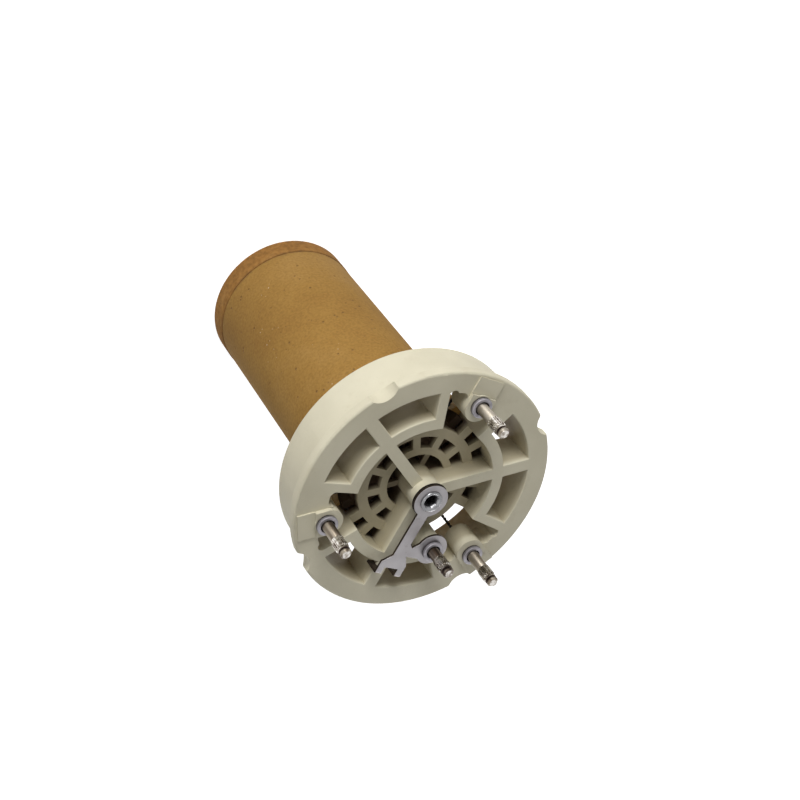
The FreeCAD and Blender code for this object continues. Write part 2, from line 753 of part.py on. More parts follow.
def lead(name, foot, head, tail, bend):
    """A stiff twisted lead: up out of a core slot, across, then up to a pin's tail.

    The foot and the head are (reach, angle) places; the tail is the pin's end height.
    """
    east = f"(({head[0]}) * cos({head[1]}) - ({foot[0]}) * cos({foot[1]}))"
    north = f"(({head[0]}) * sin({head[1]}) - ({foot[0]}) * sin({foot[1]}))"
    span = f"sqrt({east} ^ 2 + {north} ^ 2)"
    level = f"({tail} - lead_straight - {bend})"
    body = add("PartDesign::Body", name)
    path = outline(body, name + "_path", "XZ_Plane", [
        (0, "winding_top"),
        (0, f"{level} - {bend}"),
        (bend, level),
        (f"{span} - {bend}", level),
        (span, f"{level} + {bend}"),
        (span, tail),
    ], closed=False, bends={1: (bend, f"{level} - {bend}"),
                            3: (f"{span} - {bend}", f"{level} + {bend}")}, bend=bend)
    section = body.newObject("Sketcher::SketchObject", name + "_section")
    section.AttachmentSupport = (plane(body, "XY_Plane"), [""])
    section.MapMode = "FlatFace"
    bind(section, "AttachmentOffset.Base.z", "winding_top")
    section.addGeometry(Part.Circle(FreeCAD.Vector(), FreeCAD.Vector(0, 0, 1),
                                    value("lead_dia / 2")), False)
    section.addConstraint(Sketcher.Constraint("Coincident", 0, 3, -1, 1))
    where = section.addConstraint(Sketcher.Constraint("Diameter", 0, value("lead_dia")))
    section.setExpression(f"Constraints[{where}]", formula("lead_dia"))
    doc.recompute()
    pipe = body.newObject("PartDesign::AdditivePipe", name + "_sweep")
    pipe.Profile = section
    pipe.Spine = (path, [f"Edge{number + 1}" for number in range(path.GeometryCount)])
    body.Tip = pipe
    place(body, f"({foot[0]}) * cos({foot[1]})", f"({foot[0]}) * sin({foot[1]})",
          turn=f"atan2({north}; {east})")
    return body


def build():
    """Make every sub-part, in the order in which it would be put together."""
    parts = [ceramic_flange(), outer_tube(), end_ring()]
    for index in range(CORE_SEGMENTS):
        parts.append(core_segment(index))
    parts.append(tie_tube())
    parts.append(ring("hub_washer", "tie_hole_dia", "strap_hub_dia + 2 * hub_washer_margin",
                      "front + hub_rise", "strap_seat"))
    parts.append(star_strap())
    parts.append(ring("far_washer", "tie_hole_dia", "tie_hole_dia + 2 * far_washer_width",
                      "core_bottom - far_washer_thickness", "core_bottom"))
    parts.append(tie_nut())
    for index, angle in enumerate(TERMINAL_ANGLES, start=1):
        back = "boss_back - rivet_wall"
        parts.append(pin(f"terminal_pin_{index}", "pin_reach", angle, back))
        parts.append(rivet(f"terminal_rivet_{index}", "pin_reach", angle,
                           "boss_top", "boss_back"))
        parts.append(heating_winding(index - 1))
        parts.append(lead(f"twisted_lead_{index}", ("outer_slot_reach", angle),
                          ("pin_reach", angle), f"{back} - pin_tail", "lead_bend"))
    star = ("star_reach", "star_boss_angle")
    last_run = f"{SPOKE_ANGLES[2]} + (outer_rib_angle + end_rib_angle) / 2"
    parts.append(pin("star_pin", *star, "star_back - rivet_wall"))
    parts.append(rivet("star_rivet", *star, "strap_top", "star_back"))
    parts.append(lead("star_lead", ("outer_slot_reach", last_run), star,
                      "star_back - rivet_wall - pin_tail", "star_lead_bend"))
    return parts


def check(parts):
    """Stop unless every object is sound and every sub-part is a valid shape."""
    doc.recompute()
    for item in doc.Objects:
        if "Invalid" in item.State or "Error" in item.State:
            raise RuntimeError(f"{item.Name} failed: {item.State}")
    for item in parts:
        if item.Shape.isNull() or not item.Shape.isValid():
            raise RuntimeError(f"{item.Name} has no valid shape")


def export(parts):
    os.makedirs("parts", exist_ok=True)
    for item in parts:
        item.Label = item.Name
        item.Shape.exportStep(f"parts/{item.Label}.step")
        box = item.Shape.BoundBox
        print(f"{item.Label}: {len(item.Shape.Solids)} solids, {item.Shape.Volume:.1f} mm3, "
              f"z {box.ZMin:.2f} to {box.ZMax:.2f}")


SHEET = make_sheet()
PARTS = build()
check(PARTS)
export(PARTS)
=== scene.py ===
import math

import bmesh
import bpy
from mathutils import Matrix, Vector


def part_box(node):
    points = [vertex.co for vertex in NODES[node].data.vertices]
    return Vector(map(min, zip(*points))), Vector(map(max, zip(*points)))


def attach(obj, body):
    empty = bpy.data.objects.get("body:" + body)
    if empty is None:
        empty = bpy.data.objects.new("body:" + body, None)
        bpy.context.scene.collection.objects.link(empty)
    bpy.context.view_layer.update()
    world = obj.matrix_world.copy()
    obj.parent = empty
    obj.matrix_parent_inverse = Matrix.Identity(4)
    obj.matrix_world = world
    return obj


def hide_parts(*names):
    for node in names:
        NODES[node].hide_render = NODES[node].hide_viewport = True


MM = 0.001

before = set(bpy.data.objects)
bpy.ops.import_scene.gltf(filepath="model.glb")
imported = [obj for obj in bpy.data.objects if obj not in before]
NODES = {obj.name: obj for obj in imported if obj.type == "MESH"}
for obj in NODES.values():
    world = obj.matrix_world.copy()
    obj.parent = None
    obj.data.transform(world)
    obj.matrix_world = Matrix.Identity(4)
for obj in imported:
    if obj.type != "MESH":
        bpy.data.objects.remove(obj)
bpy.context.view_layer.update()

# Heights that the pieces share, in millimetres
TUBE_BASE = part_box("outer_tube")[0].z / MM
TUBE_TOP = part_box("outer_tube")[1].z / MM
FRONT = TUBE_TOP + 14.0
WEB_TOP = FRONT - 7.1
STRAP_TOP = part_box("star_strap")[1].z / MM
TIE_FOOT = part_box("tie_tube")[0].z / MM
PIN_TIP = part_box("terminal_pin_1")[1].z / MM
KNURL_FOOT = FRONT + 10.3
# The band high on the tube, near the flange, that gets painted light, in millimetres
PAINTED_LIGHT_FOOT, PAINTED_LIGHT_TOP = 108.5, 112.0

# Radii inside the casting, in millimetres
BODY_BORE = 39.2
WEB_RADIUS = 26.2

# The rim's notches: the angle of each, how far its middle lies outside the rim, and the
# radius that holds its wall, in millimetres
NOTCH_ANGLES = (19, 109, 199, 289)
NOTCH_OUTSIDE = 2.8
NOTCH_REACH = 5.7

# Round pieces
TIE_CLEARANCE = 3.2
PIN_FACES = 64
SPOKE_OF_STRAP = math.radians(240)
LEAD_RADIUS = 0.55


# Small helpers for the meshes
def outwards(angle):
    """The level direction at an angle round the upright axis."""
    return Vector((math.cos(angle), math.sin(angle), 0))


def turn_of(face):
    """A face's angle round the upright axis."""
    centre = face.calc_center_median()
    return math.atan2(centre.y, centre.x) % (2 * math.pi)


def from_node(node, sectors=0):
    """A copy of a CAD node's mesh with its loose triangles joined into flat faces.

    Planes through the upright axis keep wide faces with holes apart in sectors.
    """
    build = bmesh.new()
    build.from_mesh(NODES[node].data)
    bmesh.ops.remove_doubles(build, verts=build.verts, dist=2e-6)
    first_plane = math.radians(7)
    for i in range(sectors):
        turn = first_plane + math.pi * i / sectors
        everything = build.verts[:] + build.edges[:] + build.faces[:]
        cut = bmesh.ops.bisect_plane(build, geom=everything, dist=1e-7, plane_co=(0, 0, 0),
                                     plane_no=(-math.sin(turn), math.cos(turn), 0))
        for item in cut["geom_cut"]:
            if isinstance(item, bmesh.types.BMEdge):
                item.seam = True
    bmesh.ops.dissolve_limit(build, angle_limit=math.radians(0.6), verts=build.verts,
                             edges=build.edges, delimit={"SEAM"})
    return build


def turned(profile, steps=96, closed=True):
    """A round piece spun about an upright axis from an outline of radius and height."""
    build = bmesh.new()
    verts = [build.verts.new((r * MM, 0, z * MM)) for r, z in profile]
    edges = [build.edges.new(pair) for pair in zip(verts, verts[1:])]
    if closed:
        edges.append(build.edges.new((verts[-1], verts[0])))
    bmesh.ops.spin(build, geom=verts + edges, cent=(0, 0, 0), axis=(0, 0, 1),
                   angle=2 * math.pi, steps=steps, use_merge=True)
    bmesh.ops.remove_doubles(build, verts=build.verts, dist=1e-7)
    bmesh.ops.recalc_face_normals(build, faces=build.faces)
    return build


def measures(node):
    """The outer radius, foot and top of a round node, in millimetres."""
    low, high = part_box(node)
    return (high.x - low.x) / 2 / MM, low.z / MM, high.z / MM


def move_to_axis(build, node):
    """Move a round piece from the middle of the heater to its node's own axis."""
    low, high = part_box(node)
    centre = (low + high) / 2
    bmesh.ops.translate(build, verts=build.verts, vec=(centre.x, centre.y, 0))


def soften(build, width, segments=2, sharper_than=25, keep=None):
    """Round the edges that are sharper than an angle."""
    limit = math.radians(sharper_than)
    edges = [e for e in build.edges if len(e.link_faces) == 2
             and e.calc_face_angle(0) > limit and (keep is None or keep(e))]
    bmesh.ops.bevel(build, geom=edges, offset=width * MM, offset_type="OFFSET",
                    affect="EDGES", segments=segments, profile=0.5, material=-1,
                    clamp_overlap=True)


def chains(edges):
    """The edges in sets that hang together."""
    left, found = set(edges), []
    while left:
        queue = [left.pop()]
        chain = set(queue)
        while queue:
            near = {e for v in queue.pop().verts for e in v.link_edges} & left
            left -= near
            chain |= near
            queue += near
        found.append(chain)
    return found


def in_scene(name, data):
    item = bpy.data.objects.new(name, data)
    bpy.context.scene.collection.objects.link(item)
    return item


def piece(name, build, finish, node, smooth_below=32):
    """Turn a bmesh into a finished object that rides with the heater for a CAD node."""
    mesh = bpy.data.meshes.new(name)
    build.to_mesh(mesh)
    build.free()
    item = in_scene(name, mesh)
    mesh.materials.append(finish)
    mesh.shade_smooth()
    mesh.set_sharp_from_angle(angle=math.radians(smooth_below))
    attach(item, "root")
    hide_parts(node)
    return item


def rounded_edges(item, width, segments=2):
    """Round a finished piece's edges with a bevel that follows its own angles."""
    bevel = item.modifiers.new("softened_edges", "BEVEL")
    bevel.width = width * MM
    bevel.segments = segments
    bevel.limit_method = "ANGLE"
    bevel.angle_limit = math.radians(28)
    bevel.harden_normals = True
    bevel.miter_outer = "MITER_ARC"


def rods(node):
    """Centre, radius, foot and top of each separate rod in a CAD node, in millimetres."""
    build = bmesh.new()
    build.from_mesh(NODES[node].data)
    bmesh.ops.remove_doubles(build, verts=build.verts, dist=2e-6)
    found = []
    for chain in chains(build.edges):
        island = {v for edge in chain for v in edge.verts}
        xs = [v.co.x / MM for v in island]
        ys = [v.co.y / MM for v in island]
        zs = [v.co.z / MM for v in island]
        found.append(((min(xs) + max(xs)) / 2, (min(ys) + max(ys)) / 2,
                      (max(xs) - min(xs)) / 2, min(zs), max(zs)))
    build.free()
    return found


# Small node tools for the materials
class Surface:
    """A material's node tree with the pattern nodes that the finishes share."""

    def __init__(self, name):
        self.material = bpy.data.materials.new(name)
        self.material.use_nodes = True
        self.nodes = self.material.node_tree.nodes
        self.links = self.material.node_tree.links
        self.shader = self.nodes["Principled BSDF"]
        self.place = self.nodes.new("ShaderNodeTexCoord").outputs["Object"]

    def link(self, source, target):
        self.links.new(source, target)

    def stretched(self, scale):
        mapping = self.nodes.new("ShaderNodeMapping")
        mapping.inputs["Scale"].default_value = scale
        self.link(self.place, mapping.inputs["Vector"])
        return mapping.outputs["Vector"]

    def noise(self, scale, detail=3.0, roughness=0.5, place=None):
        node = self.nodes.new("ShaderNodeTexNoise")
        node.inputs["Scale"].default_value = scale
        node.inputs["Detail"].default_value = detail
        node.inputs["Roughness"].default_value = roughness
        self.link(place or self.place, node.inputs["Vector"])
        return node.outputs["Fac"]

    def cells(self, scale, feature="F1"):
        node = self.nodes.new("ShaderNodeTexVoronoi")
        node.feature = feature
        node.inputs["Scale"].default_value = scale
        self.link(self.place, node.inputs["Vector"])
        return node.outputs["Distance"]

    def height(self):
        node = self.nodes.new("ShaderNodeSeparateXYZ")
        self.link(self.place, node.inputs["Vector"])
        return node.outputs["Z"]

    def reach(self):
        """The distance from the upright axis."""
        node = self.nodes.new("ShaderNodeVectorMath")
        node.operation = "LENGTH"
        self.link(self.stretched((1, 1, 0)), node.inputs[0])
        return node.outputs["Value"]

    def ramp(self, source, stops):
        node = self.nodes.new("ShaderNodeValToRGB")
        ramp = node.color_ramp
        while len(ramp.elements) < len(stops):
            ramp.elements.new(0.5)
        for element, (place, colour) in zip(ramp.elements, stops):
            element.position = place
            shade = colour if isinstance(colour, tuple) else (colour,) * 3
            element.color = (*shade, 1.0)
        self.link(source, node.inputs["Fac"])
        return node.outputs["Color"]

    def band(self, source, low, high):
        """A grey value that rises from 0 to 1 between two values."""
        node = self.nodes.new("ShaderNodeMapRange")
        node.inputs["From Min"].default_value = low
        node.inputs["From Max"].default_value = high
        self.link(source, node.inputs["Value"])
        return node.outputs["Result"]

    def blend(self, factor, first, second, kind="MIX"):
        node = self.nodes.new("ShaderNodeMix")
        node.data_type = "RGBA"
        node.blend_type = kind
        for slot, given in ((0, factor), (6, first), (7, second)):
            if isinstance(given, bpy.types.NodeSocket):
                self.link(given, node.inputs[slot])
            else:
                node.inputs[slot].default_value = given if slot == 0 else (*given, 1.0)
        return node.outputs[2]

    def combine(self, operation, first, second):
        node = self.nodes.new("ShaderNodeMath")
        node.operation = operation
        for socket, given in zip(node.inputs, (first, second)):
            if isinstance(given, bpy.types.NodeSocket):
                self.link(given, socket)
            else:
                socket.default_value = given
        return node.outputs[0]

    def product(self, first, *others):
        for other in others:
            first = self.combine("MULTIPLY", first, other)
        return first

    def colour(self, source):
        self.link(source, self.shader.inputs["Base Color"])

    def roughness(self, source):
        self.link(source, self.shader.inputs["Roughness"])

    def bump(self, height, distance, strength=1.0):
        node = self.nodes.new("ShaderNodeBump")
        node.inputs["Distance"].default_value = distance
        node.inputs["Strength"].default_value = strength
        self.link(height, node.inputs["Height"])
        previous = self.shader.inputs["Normal"].links
        if previous:
            self.link(previous[0].from_socket, node.inputs["Normal"])
        self.link(node.outputs["Normal"], self.shader.inputs["Normal"])

    def set(self, **values):
        for name, value in values.items():
            self.shader.inputs[name.replace("_", " ")].default_value = value


# Ceramics
def cream_ceramic():
    """Pressed cream ceramic: soft clouds, faint specks and a fine dry grain.

    Down inside the casting it is darkened with painted shade, more so below the web, and the
    web's cells are painted near black as shade.
    """
    look = Surface("cream_ceramic")
    base = look.ramp(look.noise(45, 4),
                     [(0.3, (0.545, 0.505, 0.375)), (0.72, (0.63, 0.59, 0.45))])
    stain_and_shade = look.band(look.noise(120, 5, 0.65), 0.58, 0.78)
    base = look.blend(look.product(stain_and_shade, 0.35), base, (0.45, 0.39, 0.26))
    speck = look.ramp(look.cells(520), [(0.0, 0.72), (0.12, 1.0)])
    base = look.blend(0.5, base, speck, "MULTIPLY")
    # Painted shade: inside the bore, walls more than about 2.4 mm below the front are darkened
    # toward brown.
    inside = look.band(look.reach(), BODY_BORE * MM, (BODY_BORE - 0.6) * MM)
    shaded = look.band(look.height(), (FRONT - 0.4) * MM, (FRONT - 2.4) * MM)
    base = look.blend(look.product(inside, shaded, 0.55), base, (0.33, 0.275, 0.16))
    # Painted shade: inside the bore below the web's top, a patchy darkening that deepens
    # downwards.
    below = look.band(look.height(), (WEB_TOP + 1.0) * MM, (WEB_TOP - 6.0) * MM)
    clouds = look.ramp(look.noise(170, 4, 0.6), [(0.35, 0.35), (0.65, 0.8)])
    base = look.blend(look.product(inside, below, clouds), base, (0.22, 0.16, 0.07))
    # Painted shade: the web's cell walls just below its top are painted near black in patches.
    web = look.band(look.reach(), WEB_RADIUS * MM, (WEB_RADIUS - 0.7) * MM)
    cell = look.band(look.height(), (WEB_TOP - 0.35) * MM, (WEB_TOP - 2.0) * MM)
    cell_shade_patches = look.ramp(look.noise(260, 3), [(0.35, 0.75), (0.6, 1.0)])
    base = look.blend(look.product(web, cell, cell_shade_patches), base, (0.060, 0.036, 0.018))
    look.colour(base)
    look.bump(look.noise(900, 3), 0.00005)
    look.bump(look.noise(160, 2), 0.00012, 0.5)
    look.set(Roughness=0.62)
    return look.material


def core_ceramic():
    """The dark and matt ceramic of the core, browned by heat."""
    look = Surface("core_ceramic")
    look.colour(look.ramp(look.noise(60, 4),
                          [(0.3, (0.10, 0.062, 0.035)), (0.7, (0.17, 0.11, 0.065))]))
    look.bump(look.noise(600, 3), 0.00008)
    look.set(Roughness=0.8)
    return look.material


def fired_tube():
    """Ochre fired tube with fine mottling, small dark pits and a few pale grains."""
    look = Surface("fired_tube")
    base = look.ramp(look.noise(28, 5, 0.6),
                     [(0.3, (0.265, 0.140, 0.032)), (0.5, (0.305, 0.168, 0.040)),
                      (0.72, (0.340, 0.195, 0.055))])
    fine = look.ramp(look.noise(1100, 3), [(0.3, 0.84), (0.65, 1.08)])
    base = look.blend(1.0, base, fine, "MULTIPLY")
    pits = look.product(look.band(look.cells(360), 0.20, 0.08),
                        look.band(look.noise(150, 1), 0.47, 0.56))
    base = look.blend(look.product(pits, 0.75), base, (0.11, 0.055, 0.02))
    grains = look.product(look.band(look.cells(410), 0.11, 0.04),
                          look.band(look.noise(95, 1), 0.6, 0.7))
    base = look.blend(grains, base, (0.72, 0.60, 0.42))
    joint = look.product(
        look.band(look.height(), (TUBE_BASE + 1.2) * MM, (TUBE_BASE + 0.1) * MM),
        look.ramp(look.noise(170, 3), [(0.35, 0.1), (0.6, 0.75)]))
    base = look.blend(joint, base, (0.16, 0.085, 0.03))
    # Painted light: a paler band in patches high on the tube, near the flange.
    painted_light_band = look.product(look.band(look.height(), PAINTED_LIGHT_FOOT * MM, PAINTED_LIGHT_TOP * MM),
                         look.band(look.noise(130, 4), 0.48, 0.62))
    base = look.blend(look.product(painted_light_band, 0.6), base, (0.55, 0.45, 0.30))
    look.colour(base)
    look.bump(look.noise(750, 3), 0.00008)
    look.bump(look.combine("SUBTRACT", 1.0, pits), 0.00018)
    look.set(Roughness=0.85, Specular_IOR_Level=0.2)
    return look.material


def end_ring_ceramic():
    """The coarser and slightly redder ring at the outlet end."""
    look = Surface("end_ring_ceramic")
    base = look.ramp(look.noise(70, 5, 0.65),
                     [(0.3, (0.225, 0.105, 0.026)), (0.55, (0.300, 0.148, 0.038)),
                      (0.75, (0.350, 0.190, 0.062))])
    coarse = look.ramp(look.noise(620, 4, 0.6), [(0.3, 0.72), (0.62, 1.12)])
    base = look.blend(1.0, base, coarse, "MULTIPLY")
    joint = look.product(look.band(look.height(), (TUBE_BASE - 0.9) * MM, TUBE_BASE * MM),
                         look.ramp(look.noise(170, 3), [(0.35, 0.1), (0.6, 0.8)]))
    base = look.blend(joint, base, (0.13, 0.065, 0.025))
    look.colour(base)
    look.bump(look.noise(480, 4), 0.00022)
    look.set(Roughness=0.9, Specular_IOR_Level=0.2)
    return look.material


# Metals
def pin_plating(name, dark, middle_tone, light):
    """Plating that is dull on the shank, with dark streaks along it as painted reflections,
    painted shade in the neck, and bright on the knurl and the tip.
    """
    look = Surface(name)
    # Painted reflection: dark brown streaks along the shank stand for dark surroundings mirrored
    # in it, over the plating's own tan-grey.
    reflection_streaks = look.noise(420, 2, place=look.stretched((1, 1, 0.08)))
    shank = look.ramp(reflection_streaks, [(0.36, dark), (0.48, middle_tone), (0.62, light)])
    bright = look.ramp(look.noise(700, 3),
                       [(0.38, (0.30, 0.26, 0.22)), (0.55, (0.78, 0.75, 0.71))])
    along = look.band(look.height(), (FRONT + 10.0) * MM, (FRONT + 18.0) * MM)
    share = look.ramp(along, [(0.03, 0.0), (0.06, 1.0), (0.70, 1.0), (0.74, 0.0)])
    tip = look.band(look.height(), (PIN_TIP - 0.06) * MM, (PIN_TIP - 0.02) * MM)
    share = look.blend(tip, share, (0.8, 0.8, 0.8))
    base = look.blend(share, shank, bright)
    # Painted shade: the turned neck under the collar is painted near black.
    neck_shade = look.ramp(along, [(0.735, 0.0), (0.75, 1.0), (0.80, 1.0), (0.815, 0.0)])
    look.colour(look.blend(neck_shade, base, (0.05, 0.033, 0.028)))
    dull = look.ramp(look.noise(420, 3), [(0.3, 0.30), (0.7, 0.46)])
    polished = look.ramp(look.noise(420, 3), [(0.3, 0.16), (0.7, 0.30)])
    look.roughness(look.blend(share, dull, polished))
    look.bump(look.noise(60, 2, place=look.stretched((1, 1, 60))), 0.00002)
    look.set(Metallic=1.0)
    return look.material


def strap_sheet():
    """Dull grey stamped sheet with handling marks, and painted shade in near-black brown on all
    below its top face: cut edges and folded hooks.
    """
    look = Surface("strap_sheet")
    base = look.ramp(look.noise(150, 4),
                     [(0.3, (0.27, 0.255, 0.26)), (0.72, (0.36, 0.345, 0.355))])
    marks = look.band(look.noise(420, 5, 0.7), 0.60, 0.74)
    base = look.blend(look.product(marks, 0.45), base, (0.15, 0.13, 0.12))
    # Painted shade: everything below the top face, the cut edges and the folded hooks, is
    # painted near-black brown.
    top = look.band(look.height(), (STRAP_TOP - 0.16) * MM, (STRAP_TOP - 0.05) * MM)
    edge = look.ramp(look.noise(500, 3),
                     [(0.3, (0.035, 0.024, 0.018)), (0.7, (0.10, 0.075, 0.055))])
    look.colour(look.blend(top, edge, base))
    look.roughness(look.ramp(look.noise(300, 4), [(0.3, 0.34), (0.7, 0.52)]))
    look.bump(look.noise(500, 3, place=look.stretched((1, 3, 1))), 0.00002)
    look.set(Metallic=0.85)
    return look.material


def rolled_steel(name, dark, light, low, high, shade_painted_below=None):
    """Steel between two greys and two roughnesses, with painted shade below a height."""
    look = Surface(name)
    base = look.ramp(look.noise(330, 4), [(0.3, dark), (0.7, light)])
    if shade_painted_below:
        # Painted shade: below the given height the steel is painted near black, for the rivets'
        # lower head sides and barrels.
        stain_and_shade = look.band(look.height(), (shade_painted_below + 0.3) * MM, (shade_painted_below - 0.2) * MM)
        base = look.blend(look.product(stain_and_shade, 0.85), base, (0.03, 0.022, 0.02))
    look.colour(base)
    look.roughness(look.ramp(look.noise(500, 3), [(0.3, low), (0.7, high)]))
    look.bump(look.noise(900, 2), 0.00001)
    look.set(Metallic=0.95)
    return look.material


CREAM = cream_ceramic()
CORE = core_ceramic()
TUBE = fired_tube()
END_RING = end_ring_ceramic()
NICKEL = pin_plating("bright_nickel", (0.10, 0.075, 0.055), (0.235, 0.20, 0.155),
                     (0.35, 0.315, 0.26))
# A darker copy of the plating for the star pin; its shank streaks are painted reflections, as on
# the other pins.
DARKER_NICKEL = pin_plating("darker_nickel", (0.025, 0.017, 0.012), (0.06, 0.046, 0.036),
                      (0.22, 0.18, 0.15))
STRAP = strap_sheet()
# The rivets get painted shade from 1 mm below their tops downwards.
RIVET, STAR_RIVET = (
    rolled_steel(name, (0.22, 0.21, 0.225), (0.36, 0.345, 0.37), 0.48, 0.64,
                 shade_painted_below=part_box(node)[1].z / MM - 1.0)
    for name, node in (("rolled_rivet", "terminal_rivet_1"), ("star_rivet_steel", "star_rivet")))
TIE = rolled_steel("rolled_tie", (0.17, 0.17, 0.175), (0.34, 0.34, 0.35), 0.2, 0.36)
# Painted shade: the hub spacer is near black, standing in for the shadow gap under the strap's
# hub.
SHADE_BLACK_SPACER = rolled_steel("dark_spacer", (0.016, 0.014, 0.012), (0.045, 0.04, 0.035), 0.5, 0.7)
COIL = rolled_steel("resistance_wire", (0.10, 0.085, 0.075), (0.18, 0.16, 0.145), 0.4, 0.6)
LEAD = rolled_steel("black_lead", (0.012, 0.011, 0.010), (0.03, 0.027, 0.025), 0.45, 0.65)


# Ceramic pieces
def ceramic_flange():
    """The casting, with softly rounded lips where the rim's notches are pressed in."""
    build = from_node("ceramic_flange", 12)
    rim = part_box("ceramic_flange")[1].y
    notches = [outwards(math.radians(a)) * (rim + NOTCH_OUTSIDE * MM) for a in NOTCH_ANGLES]

    def in_notch(face):
        out = Vector((face.normal.x, face.normal.y, 0))
        spot = face.calc_center_median() * Vector((1, 1, 0))
        return any((centre - spot).length < NOTCH_REACH * MM
                   and out.dot((centre - spot).normalized()) > 0.9 for centre in notches)

    lips = {f for f in build.faces if in_notch(f)}
    soften(build, 0.9, 4, 25, keep=lambda e: len({f in lips for f in e.link_faces}) == 2)

    def on_front(edge):
        return all(abs(v.co.z / MM - FRONT) < 0.02 and v.co.xy.length < (BODY_BORE - 0.1) * MM
                   for v in edge.verts)

    def has_room(edge):
        return all(other.calc_length() > 0.5 * MM or on_front(other)
                   for v in edge.verts for other in v.link_edges)

    for chain in chains(e for e in build.edges if on_front(e) and has_room(e)
                        and e.calc_face_angle(0) > math.radians(60)):
        soften(build, 0.4, 3, 60, keep=chain.__contains__)
    item = piece("cast_flange", build, CREAM, "ceramic_flange")
    shading = item.modifiers.new("flat_faces_stay_flat", "WEIGHTED_NORMAL")
    shading.keep_sharp = True


def heater_tube():
    """The round fired tube, with softened ends."""
    outer = measures("outer_tube")[0]
    build = turned([(outer - 2.2, TUBE_BASE), (outer, TUBE_BASE),
                    (outer, TUBE_TOP), (outer - 2.2, TUBE_TOP)], 160)
    soften(build, 0.3, 3)
    piece("heater_tube", build, TUBE, "outer_tube")


def outlet_ring():
    """The ring that closes the outlet end, with a worn lower edge."""
    outer = measures("end_ring")[0]
    build = turned([(outer - 2.4, 0.0), (outer - 0.7, 0.0), (outer - 0.2, 0.25),
                    (outer, 0.8), (outer, TUBE_BASE), (outer - 2.4, TUBE_BASE)], 160)
    soften(build, 0.2, 3)
    piece("outlet_ring", build, END_RING, "end_ring")


def core_lengths():
    """The three lengths of the honeycomb core."""
    for number in (1, 2, 3):
        node = f"core_segment_{number}"
        item = piece(f"honeycomb_core_{number}", from_node(node), CORE, node)
        rounded_edges(item, 0.2)


# Pins, rivets and the tie
def terminal(name, node, finish):
    """A turned pin with straight knurl ridges, a collar, a neck and a chamfered tip."""
    foot, top = measures(node)[1:]
    knurl = KNURL_FOOT
    build = turned([
        (0, foot), (1.7, foot), (2.0, foot + 0.3), (2.0, knurl - 0.15),
        (1.88, knurl), (1.88, knurl + 0.25), (1.88, knurl + 4.35), (1.88, knurl + 4.6),
        (2.0, knurl + 4.75), (2.0, knurl + 5.6), (1.8, knurl + 5.75), (1.45, knurl + 5.85),
        (1.45, knurl + 6.2), (1.85, knurl + 6.35), (1.95, knurl + 6.5), (1.95, top - 0.7),
        (1.35, top), (0, top),
    ], PIN_FACES, closed=False)
    band = [f for f in build.faces
            if knurl + 0.3 < f.calc_center_median().z / MM < knurl + 4.3]
    ridges = [f for f in band if int(turn_of(f) * PIN_FACES / (2 * math.pi) + 0.01) % 4 < 2]
    bmesh.ops.inset_region(build, faces=ridges, thickness=0.06 * MM, depth=0.35 * MM,
                           use_even_offset=True)
    move_to_axis(build, node)
    piece(name, build, finish, node, 40)


def hollow_rivet(name, node, finish):
    """A hollow rivet with a rolled flat head and a dark gap round the pin."""
    head, foot, top = measures(node)
    seat = top - 1.6
    build = turned([
        (2.01, foot), (2.8, foot), (2.8, foot + 0.5), (2.5, foot + 0.5), (2.5, seat),
        (head - 0.1, seat), (head, seat + 0.3), (head, top - 0.16), (head - 0.16, top),
        (2.5, top - 0.04), (2.42, top - 0.14), (2.4, top - 2.2), (2.01, top - 2.4),
    ], PIN_FACES)
    soften(build, 0.05, 2, 20, keep=lambda e: e.verts[0].co.z / MM > seat - 0.1)
    move_to_axis(build, node)
    piece(name, build, finish, node, 40)


def hollow_tie():
    """The tie tube, rolled outwards over the strap."""
    roll = STRAP_TOP
    build = turned([
        (2.05, TIE_FOOT), (2.7, TIE_FOOT), (3.0, TIE_FOOT + 0.3), (3.0, roll),
        (3.7, roll), (3.85, roll + 0.2), (3.8, roll + 0.45), (3.6, roll + 0.65),
        (3.35, roll + 0.7), (3.05, roll + 0.6), (2.7, roll + 0.25), (2.35, roll - 0.3),
        (2.12, roll - 1.0), (2.05, roll - 1.8),
    ])
    mouth = [v for v in build.verts
             if roll - 1.2 < v.co.z / MM < roll + 0.3 and v.co.xy.length < 2.8 * MM]
    # The rolling tool leaves the mouth with eight sides
    for vert in mouth:
        turn = math.atan2(vert.co.y, vert.co.x) % (math.pi / 4) - math.pi / 8
        vert.co.xy *= 0.93 / math.cos(turn)
    piece("hollow_tie", build, TIE, "tie_tube", 40)


def flat_spacer(name, finish, node, softened):
    """A flat washer round the tie."""
    outer, foot, top = measures(node)
    build = turned([(TIE_CLEARANCE, foot), (outer, foot), (outer, top), (TIE_CLEARANCE, top)])
    soften(build, softened)
    piece(name, build, finish, node)


def star_strap():
    """The stamped strap, with rolled edges and two hooks folded over the ring."""
    build = from_node("star_strap")
    spoke = outwards(SPOKE_OF_STRAP)
    reach = max(v.co.dot(spoke) for v in build.verts)

    def on_fold(edge):
        return all(v.co.dot(spoke) > reach - 0.02 * MM and v.co.z / MM > STRAP_TOP - 0.02
                   for v in edge.verts)

    soften(build, 0.85, 6, 20, keep=on_fold)
    item = piece("stamped_strap", build, STRAP, "star_strap")
    rounded_edges(item, 0.14)


def tie_hexagon():
    """The nut that holds the tie at the outlet end."""
    item = piece("tie_hexagon", from_node("tie_nut"), TIE, "tie_nut")
    rounded_edges(item, 0.3, 3)


